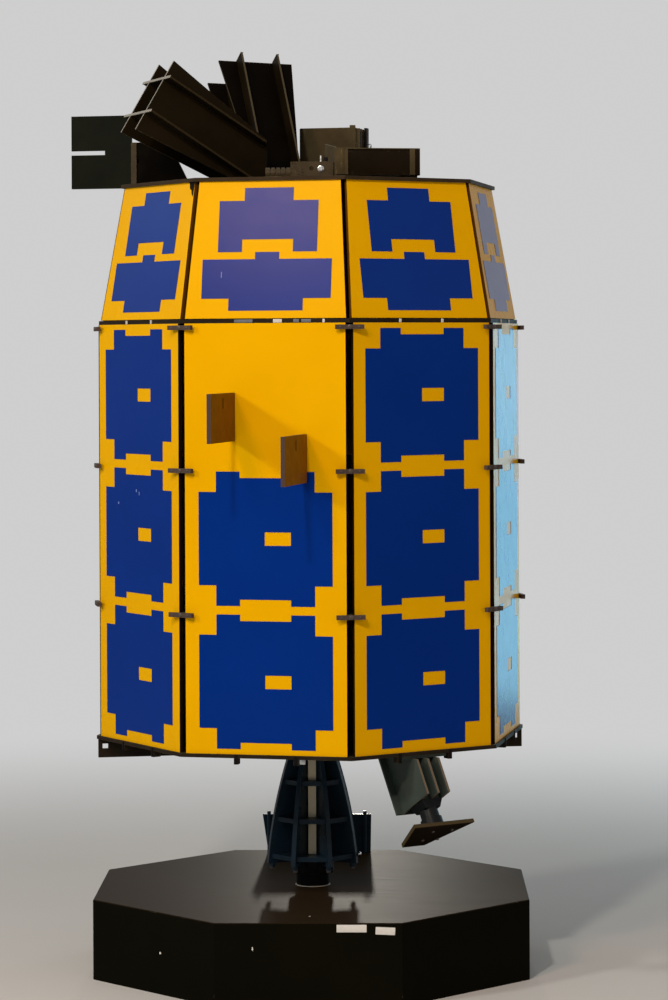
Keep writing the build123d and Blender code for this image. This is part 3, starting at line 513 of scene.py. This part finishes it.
# %% One surface for pressed and turned pieces
def rounded_outline(width, height, corner, a_corner=4):
    """Rectangle with round corners, anticlockwise: each corner's centre plus radius times (cos t, sin t)."""
    turn = np.linspace(0.0, np.pi / 2, a_corner)
    t = (turn[None, :] + np.arange(4)[:, None] * np.pi / 2).ravel()
    signs = np.repeat(np.array([(1, 1), (-1, 1), (-1, -1), (1, -1)]), a_corner, axis=0)
    return signs * (np.array([width, height]) / 2 - corner) + corner * np.stack([np.cos(t), np.sin(t)], axis=1)


def ring_outline(diameter, sides=16):
    """Regular outline with that many sides: radius times (cos t, sin t)."""
    t = np.arange(sides) * 2 * np.pi / sides
    return diameter / 2 * np.stack([np.cos(t), np.sin(t)], axis=1)


def carried(outline, section):
    """Grid P(i, j) = outline point i drawn in by inset j, at height j, as (points in metres, [quads, two caps])."""
    section = np.array(section, dtype=float)
    shrink = 1 - section[:, :1] / np.abs(outline).max(axis=0)
    flat = outline[None, :, :] * shrink[:, None, :]
    rise = np.broadcast_to(section[:, 1:, None], (*flat.shape[:2], 1))
    points = np.concatenate([flat, rise], axis=2).reshape(-1, 3) / 1000
    at = np.arange(len(points)).reshape(len(section), len(outline))
    after = np.roll(at, -1, axis=1)
    quads = np.stack([at[:-1], after[:-1], after[1:], at[1:]], axis=2).reshape(-1, 4)
    return points, [quads, at[:1, ::-1], at[-1:]]


def slab(width, height, depth, corner=1.0, soft=0.5):
    """A thin pressed slab with a softened front edge."""
    section = [(0, 0), (0, depth - soft), (soft * 0.3, depth - soft * 0.3), (soft, depth)]
    return carried(rounded_outline(width, height, corner), section)


print("points of a pressed slab and of an octagon's outline:", len(slab(9.0, 9.0, 2.0)[0]), len(ring_outline(9.0, 8)))

# %% [markdown]
# Each small piece is drawn once, round its own middle, and a frame sets it on what carries it: a matrix whose columns
# are the directions across, up and out of that surface, and the point where the piece sits. The objects could be
# moved and turned instead, but a place that is in the mesh keeps the patterns of the materials still when the piece is
# exported, and one piece can hold a shape many times over.


# %% Frames and pieces
def frame_of(across, up, out, point):
    """Frame as a matrix: its columns are across, up, out and the point, which is given in millimetres."""
    made = np.eye(4)
    made[:3] = np.stack([across, up, out, np.array(point) / 1000], axis=1)
    return made


def on_wall(angle, reach, height, aside=0.0, lean=0.0, spin=0.0):
    """Frame on a wall that looks along an angle and leans back: turned by spin in the wall's own plane."""
    a, tip, turn = radians(angle), radians(lean), radians(spin)
    out = np.array([cos(a) * cos(tip), sin(a) * cos(tip), sin(tip)])
    across = np.array([-sin(a), cos(a), 0.0])
    up = np.cross(out, across)
    point = (reach * cos(a) - aside * sin(a), reach * sin(a) + aside * cos(a), height)
    return frame_of(cos(turn) * across + sin(turn) * up, cos(turn) * up - sin(turn) * across, out, point)


def lying(point):
    """Frame that lies flat at a point and looks up."""
    return frame_of((1, 0, 0), (0, 1, 0), (0, 0, 1), point)


def piece(name, parts, finish, body="satellite"):
    """One mesh of shapes set in frames, all points at once: frame point + x across + y up + z out."""
    points, faces, start = [], [], 0
    for (local, polygons), frames in parts:
        frames = np.array(frames).reshape(-1, 4, 4)
        world = np.einsum("fij,nj->fni", frames[:, :3, :3], local) + frames[:, None, :3, 3]
        points.append(world.reshape(-1, 3))
        for number in range(len(frames)):
            for group in polygons:
                faces += (group + start + number * len(local)).tolist()
        start += len(local) * len(frames)
    mesh = bpy.data.meshes.new(name)
    mesh.from_pydata(np.concatenate(points).tolist(), [], faces)
    mesh.shade_smooth()
    mesh.set_sharp_from_angle(angle=radians(30.0))
    mesh.materials.append(finish)
    made = bpy.data.objects.new(name, mesh)
    bpy.context.scene.collection.objects.link(made)
    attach(made, body)
    print(name, len(faces), "faces")
    return made


print("a wall at -90 degrees looks along", on_wall(-90, 0, 0)[:3, 2].round(3).tolist())

# %% [markdown]
# Two blank labels are stuck to the front of the plinth, and the smaller one sits a little askew. Small chips show the
# pale board through the laminate. A thin bead closes the joint round the foot of the post. Patches of another colour
# in the laminate's material would do from afar, but thin slabs have an edge that catches the light.

# %% Labels, chips and bead on the plinth
# how far the plinth, cage and clevis are turned, in degrees, and what share of an octagon's radius its faces stand at
STAND = 11.3
TO_FACE = cos(radians(22.5))
PLINTH_TOP, PLINTH_RADIUS = 200.0, 591.0
plinth_face = PLINTH_RADIUS * TO_FACE
# width, height, thickness, how high, how far aside, and how many degrees askew
LABELS = ((72.0, 18.0, 1.0, 187.0, 105.0, 0.0), (47.0, 18.0, 0.8, 181.0, 186.0, -2.5))
labels = [
    (slab(wide, tall, thick), [on_wall(STAND - 90, plinth_face, high, aside, spin=askew)])
    for wide, tall, thick, high, aside, askew in LABELS
]
piece("plinth_labels", labels, card)


def chip(width, height, seed):
    """Ragged flake 0.3 mm thick: an oval whose radius wanders by a quarter with three waves round it."""
    t = np.arange(18) * 2 * np.pi / 18
    wander = 1 + 0.25 * np.sin(3 * t + seed) * np.cos(2 * t + 2 * seed)
    oval = wander[:, None] * np.stack([width / 2 * np.cos(t), height / 2 * np.sin(t)], axis=1)
    return carried(oval, [(0, 0), (0.1, 0.3)])


# face angle, how high, how far aside, width and height of the flake
CHIPS = (
    (STAND - 135, 101.0, 30.0, 6.0, 6.0),
    (STAND - 90, 138.0, -133.0, 3.5, 9.0),
    (STAND + 90, 150.0, 60.0, 5.0, 4.0),
)
flakes = []
for number, (angle, high, aside, width, height) in enumerate(CHIPS):
    flakes.append((chip(width, height, number), [on_wall(angle, plinth_face, high, aside)]))
flakes.append((chip(4.0, 8.0, 7), [lying((92.0, -448.0, PLINTH_TOP))]))
bead = carried(ring_outline(90, 48), [(0, 0), (0.4, 1.0), (1.6, 1.8), (2.6, 1.9)])
piece("plinth_chips", flakes, card)
piece("post_bead", [(bead, [lying((0, 0, PLINTH_TOP))])], bare_cut)

# %% [markdown]
# Screws and nuts. A domed bolt closes the middle of each T-shaped tab and a small screw holds each of its arms. A nut
# on a washer is set under each foot of the cage. Thin clips grip the rim of the bottom deck. A nut could be a cylinder
# and a bolt a cut sphere, but the grid above makes both from a few numbers, with a soft rim for the light to run round.


# %% Fasteners
def dome(diameter, rise):
    """Turned head: a short wall and a quarter circle that closes on top, as section (inset, height)."""
    t = np.linspace(0, np.pi / 2, 6)[:-1]
    section = [(0, 0)] + [(diameter / 2 * (1 - np.cos(a)), rise * (0.3 + 0.7 * np.sin(a))) for a in t]
    return carried(ring_outline(diameter), section)


def hexagon(diameter, rise):
    """Nut with a washer under it and a bevelled top."""
    nut = carried(ring_outline(diameter, 6), [(0, 1.0), (0, rise - 1.2), (1.0, rise)])
    washer = carried(ring_outline(diameter * 1.25, 20), [(0, 0), (0, 0.8), (0.5, 1.0)])
    return nut, washer


# the body's corners, the seam between two lower panels, how far a tab stands out, half its height, where its screws are
BODY_RADIUS, LOWER_SEAM, TAB_DEPTH, HALF_TAB, TAB_SCREW = 550.0, 21.0, 10.0, 5.5, 23.0
PANEL_FOOT, PANEL_HEIGHT = 597.0, 1043.0
lower_face = BODY_RADIUS * TO_FACE
half_panel = (2 * BODY_RADIUS * sin(radians(22.5)) - LOWER_SEAM) / 2
tab_front = lower_face * TO_FACE + half_panel * sin(radians(22.5)) + TAB_DEPTH
TAB_HEIGHTS = [PANEL_FOOT + share * PANEL_HEIGHT + HALF_TAB for share in (0.316, 0.652, 0.985)]
corners = [(-67.5 + 45 * n, high) for n in range(8) for high in TAB_HEIGHTS]
middles = [on_wall(angle, tab_front, high) for angle, high in corners]
arms = [on_wall(angle, tab_front, high, side) for angle, high in corners for side in (-TAB_SCREW, TAB_SCREW)]
piece("tab_bolts", [(dome(12.0, 2.2), middles), (dome(6.0, 1.6), arms)], dull_zinc)

# the height of the cage's feet, and how far from the axis the nuts are
CAGE_FOOT, CAGE_NUTS = 252.0, 111.0
nut, washer = hexagon(12.0, 6.0)
feet = []
for n in range(8):
    a = radians(STAND + 22.5 - 90 + 45 * n)
    foot = (CAGE_NUTS * cos(a), CAGE_NUTS * sin(a), CAGE_FOOT)
    feet.append(frame_of((cos(a), sin(a), 0), (sin(a), -cos(a), 0), (0, 0, -1), foot))
piece("cage_nuts", [(nut, feet), (washer, feet)], dull_zinc)
# each at an angle, a reach and a height
ring_bolt = on_wall(-5.0, 124.5, 283.0)
bracket = on_wall(-97.0, 80.0, 524.0)
piece("cage_bolt", [(dome(13.0, 6.0), [ring_bolt]), (slab(21.0, 13.0, 4.0, 1.0), [bracket])], zinc)

# corners of the bottom deck, the height of the clips' middles, and how far aside they are
RIM_RADIUS, RIM_HEIGHT, RIM_CLIP = 556.0, 585.0, 74.0
rim_face = RIM_RADIUS * TO_FACE
clip_places = [on_wall(-90 + 45 * n, rim_face, RIM_HEIGHT, side) for n in range(8) for side in (-RIM_CLIP, RIM_CLIP)]
piece("rim_clips", [(slab(7.0, 24.0, 2.2, 1.5), clip_places)], rubber_and_painted_shade)

# %% [markdown]
# Marks of use on the panels in front. Three scratches cross the cells on the left and one those above the fins, and
# a corner of the left upper panel is broken out. A scratch is a pale sliver a tenth of a millimetre thick. The broken
# corner could be cut from the sheet, but a ragged black flake laid over it paints the shade in the hole and leaves the
# sheet be.

# %% Scratches and a broken corner
# the upper panels: lean in degrees, how far out and how high their foot is, their height, and the film's thickness
UPPER_LEAN, UPPER_FOOT, UPPER_FOOT_HEIGHT, UPPER_HEIGHT, FILM = 9.675, 501.7, 1651.6, 336.0, 0.8


def on_upper(angle, height, aside, proud=0.0):
    """Frame on a leaning panel: its reach is that of its foot less tan(lean) for each millimetre above the foot."""
    reach = UPPER_FOOT + proud - (height - UPPER_FOOT_HEIGHT) * tan(radians(UPPER_LEAN))
    return on_wall(angle, reach, height, aside, UPPER_LEAN)


# aside, height, width and length of each scratch on the left cells
SCRATCHES = ((-9.5, 1226.0, 4.0, 7.0), (4.6, 1219.5, 3.0, 9.0), (-100.9, 1192.5, 5.0, 6.0))
scratches = [
    (slab(wide, tall, 0.1, 0.8, 0.05), [on_wall(-135, lower_face + FILM, high, aside)])
    for aside, high, wide, tall in SCRATCHES
]
scratches.append((slab(2.0, 15.0, 0.1, 0.8, 0.05), [on_upper(-90, 1758.0, -112.5, FILM)]))
piece("cell_scratches", scratches, scratched)
torn = np.array([(0, 0), (-26, 0), (-22, -9), (-20, -16), (-11, -21), (-8, -30), (0, -37)], dtype=float)
corner = on_upper(-135, UPPER_FOOT_HEIGHT + UPPER_HEIGHT, 176.3)
# the black flake is painted shade in the broken-out corner
piece("broken_corner", [(carried(torn, [(0, 0), (0.1, 0.4)]), [corner])], rubber_and_painted_shade)

# %% [markdown]
# The gap under the upper panels is not empty: pale and grey shims and short studs stand in it on the edge of the
# shoulder deck. The front has five, as the photograph shows, and each other face has two studs.

# %% Shims in the shoulder gap
# corners of the deck in the gap, the height of the gap's middle, and how far aside the studs are
GAP_RADIUS, GAP_HEIGHT, STUD = 546.0, 1645.0, 62.0
gap_face = GAP_RADIUS * TO_FACE
# how far aside and how wide each is
FRONT_SHIMS = ((32.0, 22.0), (146.0, 6.0))
GREY_SHIMS = ((-53.0, 46.0), (78.0, 14.0), (103.0, 24.0))
pale = [(slab(wide, 9.0, 2.6, 0.5), [on_wall(-90, gap_face, GAP_HEIGHT, aside)]) for aside, wide in FRONT_SHIMS]
studs = [on_wall(-90 + 45 * n, gap_face, GAP_HEIGHT, side) for n in range(1, 8) for side in (-STUD, STUD)]
piece("pale_shims", pale + [(slab(6.0, 9.5, 2.6, 0.5), studs)], pale_shim)
grey = [(slab(wide, 8.0, 2.2, 0.5), [on_wall(-90, gap_face, GAP_HEIGHT, aside)]) for aside, wide in GREY_SHIMS]
piece("grey_shims", grey, grey_shim)

# %% [markdown]
# The mouths of the hoods were cut last and show bare metal. The mask of the other cut edges could show that too, but
# it would brighten the back edges as well. So a strip covers each edge of a mouth, a third of a millimetre thick on
# the plates and 1.6 mm on the ribs, and the bright line keeps its width from every side.

# %% Bare mouths of the hoods
deck_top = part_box("top_deck")[1][2] * 1000
# how far plates and ribs stand from the middle, the width of the strips over their edges, and the edges' lengths
APART, PLATE_EDGE, RIB_EDGE, PLATE_LONG, RIB_LONG = 49.5, 5.0, 7.0, 202.0, 184.0
strips = []
for _, mouth, along_width, across, _, _ in HOODS:
    out = np.array(across) / np.linalg.norm(across)
    wide = np.array(along_width) - np.dot(along_width, out) * out
    wide /= np.linalg.norm(wide)
    look = np.cross(out, wide)
    middle = np.array(mouth) + (0.0, 0.0, deck_top)
    for side in (-APART, APART):
        on_plate, on_rib = (frame_of(wide, -out, look, middle + side * way) for way in (out, wide))
        strips.append((slab(PLATE_LONG, PLATE_EDGE, 0.35, 0.3, 0.1), [on_plate]))
        strips.append((slab(RIB_EDGE, RIB_LONG, 1.6, 0.6, 0.4), [on_rib]))
piece("hood_mouth_edges", strips, bare_cut)

# %% [markdown]
# On the top deck, a bright bolt, the sleeve of a pin and a dark block stand on the clevis, and a clip grips the rim
# post. They could be placed straight in the world, but on a clevis that is turned by 11.3 degrees it is easier to
# follow distances to the right of its middle, above the deck and out from its front.

# %% Clevis and rim post
clevis_x, clevis_y = 73.0, -301.0


def on_clevis(aside, above, deep=0.0):
    """Frame on the front of the clevis, which looks along STAND - 90 degrees."""
    a = radians(STAND)
    point = (clevis_x + aside * cos(a) + deep * sin(a), clevis_y + aside * sin(a) - deep * cos(a), deck_top + above)
    return frame_of((cos(a), sin(a), 0), (0, 0, 1), (sin(a), -cos(a), 0), point)


bolt, collar = hexagon(12.5, 7.5)
bolt_frame = on_clevis(22.0, 26.0)
piece("clevis_bolt", [(bolt, [bolt_frame]), (collar, [bolt_frame])], zinc)
pin_cap = carried(ring_outline(5.6), [(0, 0), (0, 14.6), (1.0, 15.6)])
# turns a frame that looks forwards into one that looks up
UPRIGHT = frame_of((1, 0, 0), (0, 0, -1), (0, 1, 0), (0, 0, 0))
upright = on_clevis(22.0, 44.0, -11.0) @ UPRIGHT
piece("clevis_pin_sleeve", [(pin_cap, [upright])], zinc)
block = on_clevis(34.0, 44.0, -11.0) @ UPRIGHT
piece("clevis_block", [(slab(11.0, 14.0, 11.0, 1.5, 1.0), [block])], rubber_and_painted_shade)

# corners of the top deck, and how thick the rim post is that stands on its edge and carries the clip
DECK_RADIUS, RIM_POST = 488.0, 14.0
rim_in = RIM_POST - DECK_RADIUS * TO_FACE
clip = frame_of((0, 1, 0), (0, 0, 1), (1, 0, 0), (rim_in, -84.5, deck_top + 66.0))
piece("rim_post_clip", [(slab(9.0, 13.0, 6.0, 1.5), [clip])], bare_cut)

# %% [markdown]
# A wire ring hangs by a short hook on the strip beside the ribbed box. A torus would do for the ring alone. A tube
# that is swept along a path gives the ring and the hook, so one function makes both.


# %% Ring on the strip
def swept(path, radius, sides=8):
    """Closed or open wire: ring of points round each place of the path, P = place + r (cos t n + sin t b)."""
    path = np.array(path, dtype=float)
    along = np.gradient(path, axis=0)
    along /= np.linalg.norm(along, axis=1)[:, None]
    n = np.cross(along, [0.37, 0.12, 0.92])
    n /= np.linalg.norm(n, axis=1)[:, None]
    b = np.cross(along, n)
    t = (np.arange(sides) * 2 * np.pi / sides)[None, :, None]
    points = path[:, None, :] + radius * (np.cos(t) * n[:, None, :] + np.sin(t) * b[:, None, :])
    at = np.arange(len(path) * sides).reshape(len(path), sides)
    after = np.roll(at, -1, axis=1)
    quads = np.stack([at[:-1], after[:-1], after[1:], at[1:]], axis=2).reshape(-1, 4)
    return points.reshape(-1, 3) / 1000, [quads, at[:1, ::-1], at[-1:]]


# the ring hangs in the plane x = RING_X round a middle at RING_Y, and the hook comes to it from the strip
RING_X, RING_Y, RING_HEIGHT, RING_RADIUS = 113.5, 230.0, deck_top + 112.0, 7.0
t = np.linspace(0, 2 * np.pi, 33)
ring = np.stack([RING_X + 0 * t, RING_Y + RING_RADIUS * np.cos(t), RING_HEIGHT + RING_RADIUS * np.sin(t)], axis=1)
HOOK = ((-8.9, 8.0), (-4.5, 8.0), (0.0, 7.0))
hook = np.array([(RING_X + x, RING_Y, RING_HEIGHT + z) for x, z in HOOK])
RING_WIRE, HOOK_WIRE = 1.3, 1.5
wires = [(swept(ring, RING_WIRE), [lying((0, 0, 0))]), (swept(hook, HOOK_WIRE), [lying((0, 0, 0))])]
piece("strip_ring", wires, zinc)

# %% [markdown]
# The low box at the front has more on it than its block shows: a pale plate on its left side that rises towards the
# back, two upright strips on its front with a hollow between them, and a bright edge along its top. The ribbed box
# behind it has a folded strip at its left edge and a small tab on top. Each is a thin slab with softened edges, set
# on the face that carries it.

# %% Trim on the two boxes
grey_trim = sprayed("grey_trim", *PAINTS["grey_box_paint"])
dark_trim = sprayed("dark_trim", *PAINTS["box_paint"])
BOX_TURN, HALF_DEPTH, HALF_WIDTH = 22.5, 75.0, 105.5
box_middle = np.array([204.0, -192.0, deck_top + 10.0])
box_x = np.array([cos(radians(BOX_TURN)), sin(radians(BOX_TURN)), 0.0])
box_look = np.array([sin(radians(BOX_TURN)), -cos(radians(BOX_TURN)), 0.0])
up = np.array([0.0, 0.0, 1.0])


def on_box_front(aside, above):
    """Frame on the front of the low box, at a distance from its middle and a height above its underside."""
    return frame_of(box_x, up, box_look, box_middle + aside * box_x + HALF_DEPTH * box_look + above * up)


# aside, above, width, height, depth of each slab on the front
FRONT_TRIM = (
    (-91.0, 33.5, 29.0, 65.0, 2.4),
    (-91.0, 33.5, 6.0, 65.0, 4.4),
    (86.0, 33.5, 13.0, 65.0, 2.4),
    (0.0, 65.5, 209.0, 2.6, 3.0),
)
trim = [(slab(w, h, d, 0.6), [on_box_front(aside, above)]) for aside, above, w, h, d in FRONT_TRIM]
# the side plate as an outline round its middle: depth from back to front, and height
side_outline = np.array([(-HALF_DEPTH, -43.0), (HALF_DEPTH, -43.0), (HALF_DEPTH, 35.0), (-HALF_DEPTH, 52.0)])
side_frame = frame_of(box_look, up, -box_x, box_middle - HALF_WIDTH * box_x + 34.0 * up)
trim.append((carried(side_outline, [(0, 0), (0, 2.0), (0.8, 2.6)]), [side_frame]))
# the folded strip at the left edge of the ribbed box, and the tab on its top
rear_frame = frame_of((1, 0, 0), (0, 0, 1), (0, -1, 0), (-54.5, 162.0, deck_top + 80.0))
trim.append((slab(15.0, 158.0, 3.0, 0.6), [rear_frame]))
trim.append((slab(14.0, 10.0, 6.5, 1.0), [lying((77.0, 172.0, deck_top + 160.0))]))
piece("box_trim", trim, grey_trim)
hollow = [(slab(157.0, 56.0, 0.5, 0.6, 0.2), [on_box_front(1.5, 31.0)])]
hollow.append((slab(12.0, 65.0, 2.0, 0.6), [on_box_front(99.0, 33.5)]))
piece("box_hollow", hollow, dark_trim)

# %% [markdown]
# The fins have a narrow slit near the top. It is too narrow to look into, so its shade shows as a black line, and a
# sliver of the black rubber finish on both sides of the sheet draws it as painted shade. Cutting the sheet would be
# truer, but the line would look the same, and the frame's own meshes are left as they are.

# %% Slits of the fins
# how far aside and how far below the panel's top each fin's foot is, half its thickness, and where its slit is
FINS = ((-79.0, 285.0), (99.0, 385.0))
HALF_FIN, SLIT_REACH, SLIT_HEIGHT = 5.0, 117.5, 93.0
fin_slits = []
for aside, below in FINS:
    for side in (-1.0, 1.0):
        place = (aside + side * HALF_FIN, -lower_face - SLIT_REACH, PANEL_FOOT + PANEL_HEIGHT - below + SLIT_HEIGHT)
        fin_slits.append(frame_of((0, side, 0), (0, 0, 1), (side, 0, 0), place))
# the black slivers are painted shade in the slits
piece("fin_slits", [(slab(6.0, 25.0, 0.4, 1.0, 0.1), fin_slits)], rubber_and_painted_shade)

# %% [markdown]
# The head under the arm ends in a tapering plate. It is wide on the side away from the post and narrow on the near
# side, and its left end reaches further than its right. The frame's own plate is the mirror image of that, so the
# plate is drawn again here, as an outline carried through its thickness, and stands for it. Its edges are softened,
# four small screws hold it from underneath, and it turns with the head.

# %% Plate of the head
LEAN, ARM_ANGLE = radians(31.0), radians(-45.0)
# how far out and how high the arm's end is, and how far below it the plate starts
ARM_REACH, ARM_TIP, TO_PLATE = 516.0, 470.0, 75.3
arm_out = np.array([cos(ARM_ANGLE), sin(ARM_ANGLE), 0.0])
arm_aside = np.array([-sin(ARM_ANGLE), cos(ARM_ANGLE), 0.0])
arm_tip = ARM_REACH * arm_out + ARM_TIP * up
plate_out = arm_out * cos(LEAN) + up * sin(LEAN)
plate_down = arm_out * sin(LEAN) - up * cos(LEAN)
plate_top = arm_tip + TO_PLATE * plate_down
# corners: along the plate's slope away from the post, and to the right of it
HEAD_CORNERS = np.array([(66.0, -101.0), (66.0, 73.0), (-58.0, -2.0), (-58.0, -66.0)])
plate_middle = HEAD_CORNERS.mean(axis=0)
plate_place = plate_top + plate_middle[0] * plate_out + plate_middle[1] * arm_aside
plate_frame = frame_of(plate_out, -arm_aside, plate_down, plate_place)
# the plate's frame looks down, which mirrors the outline, so it is read backwards to stay anticlockwise
outline = ((HEAD_CORNERS - plate_middle) * (1.0, -1.0))[::-1]
PLATE = 10.0
plate = carried(outline, [(0.8, 0.0), (0.0, 0.8), (0.0, PLATE - 0.8), (0.8, PLATE)])
head_paint = sprayed("head_plate_paint", *PAINTS["box_paint"], cut=("#463C28", tuple(plate_down)))
swivel_plate = piece("swivel_plate", [(plate, [plate_frame])], head_paint, "head")
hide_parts("head_plate")
HEAD_SCREWS = ((30.0, -28.0), (30.0, 28.0), (-22.0, -28.0), (-22.0, 16.0))
screws = []
for along, aside in HEAD_SCREWS:
    place = plate_top + along * plate_out + aside * arm_aside + PLATE * plate_down
    screws.append(frame_of(plate_out, -arm_aside, plate_down, place))
piece("head_screws", [(dome(9.0, 3.0), screws)], dull_zinc, "head")
